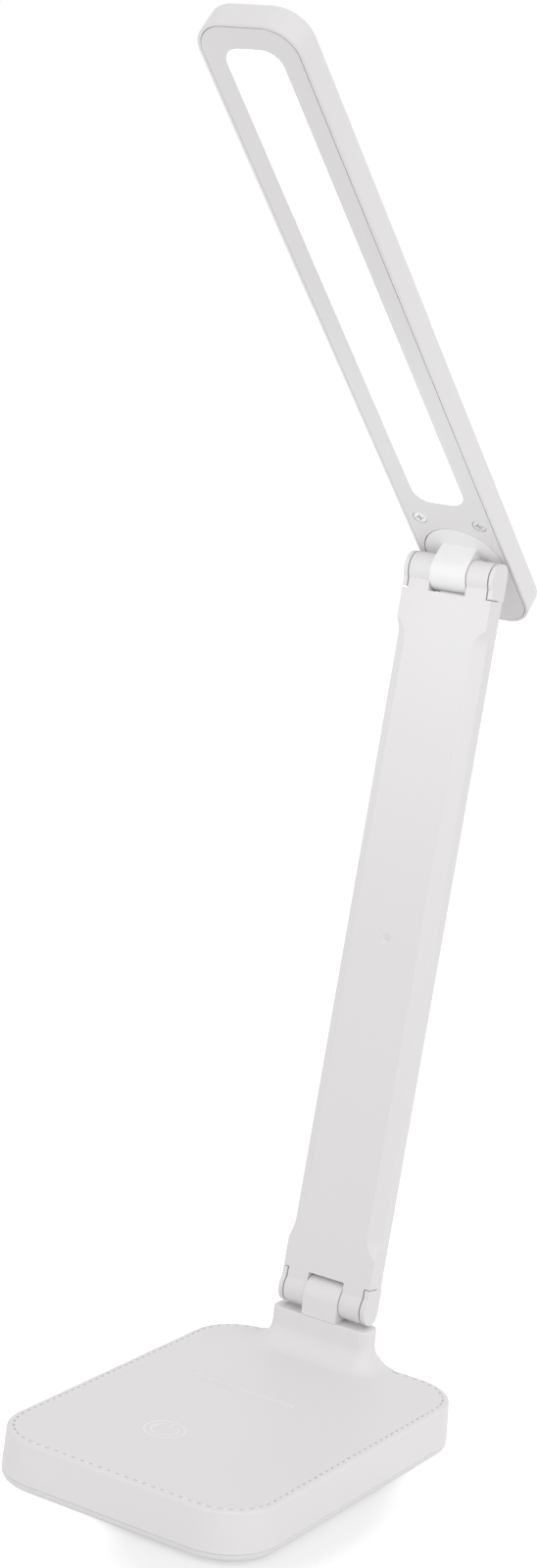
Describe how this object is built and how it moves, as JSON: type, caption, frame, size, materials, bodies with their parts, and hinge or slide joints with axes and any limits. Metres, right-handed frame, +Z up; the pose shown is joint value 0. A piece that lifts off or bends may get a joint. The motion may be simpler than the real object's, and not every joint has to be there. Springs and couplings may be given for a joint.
{
  "type": "folding desk lamp",
  "caption": "Slim folding desk lamp: weighted base with touch switch, flat hinged arm, and a long light bar that tilts and swivels on its own knuckle.",
  "frame": {"origin": "middle of the base outline, on the plane that the rubber feet stand on", "axes": "+X along both hinge axes, to the right of someone facing the lamp's front; +Y to the rear; +Z up"},
  "size_m": [0.1012, 0.2074, 0.4625],
  "materials": {
    "white_shell": "satin off-white moulded plastic",
    "grey_rubber": "matte",
    "steel": "plain",
    "battery_wrap": "shrink film",
    "green_board": "solder mask",
    "copper_plate": "plain",
    "red_wire": "satin",
    "light_diffuser": "opal, lit from behind",
    "white_sheet": "satin",
    "white_board": "satin",
    "led_yellow": "phosphor lens",
    "black_washer": "plain"
  },
  "bodies": {
    "base": {"base_cover": "white_shell", "bottom_cover": "white_shell", "rubber_feet": "grey_rubber", "base_screws": "steel", "ballast_plate": "steel", "battery_pack": "battery_wrap", "control_board": "green_board", "usb_socket": "steel", "touch_sensor": "copper_plate", "base_knuckle": "white_shell", "knuckle_screw": "steel", "lower_friction_clip": "steel"},
    "arm": {"arm_front_shell": "white_shell", "arm_rear_shell": "white_shell", "arm_stiffener": "steel", "arm_screws": "steel", "arm_wire": "red_wire", "lower_hinge_pin": "steel", "upper_hinge_pin": "steel"},
    "swivel": {"head_knuckle": "white_shell", "upper_friction_clip": "steel", "swivel_clip": "steel"},
    "head": {"head_shell": "white_shell", "head_bezel": "white_shell", "diffuser": "light_diffuser", "reflector": "white_sheet", "led_board": "white_board", "leds": "led_yellow", "head_screws": "steel", "swivel_bearing": "white_sheet", "swivel_washer": "black_washer"}
  },
  "joints": [
    {"name": "base_hinge", "type": "hinge", "parent": "base", "child": "arm", "pos_m": [-0.0065, 0.06706, 0.03791], "axis": [1, 0, 0], "range_deg": [-22, 97.89]},
    {"name": "head_hinge", "type": "hinge", "parent": "arm", "child": "swivel", "pos_m": [-0.0065, 0.102, 0.29004], "axis": [1, 0, 0], "range_deg": [-54.53, 125.47]},
    {"name": "head_swivel", "type": "hinge", "parent": "swivel", "child": "head", "pos_m": [-0.0065, 0.10686, 0.29518], "axis": [0, -0.6866, -0.7271], "range_deg": [-90, 90]}
  ]
}
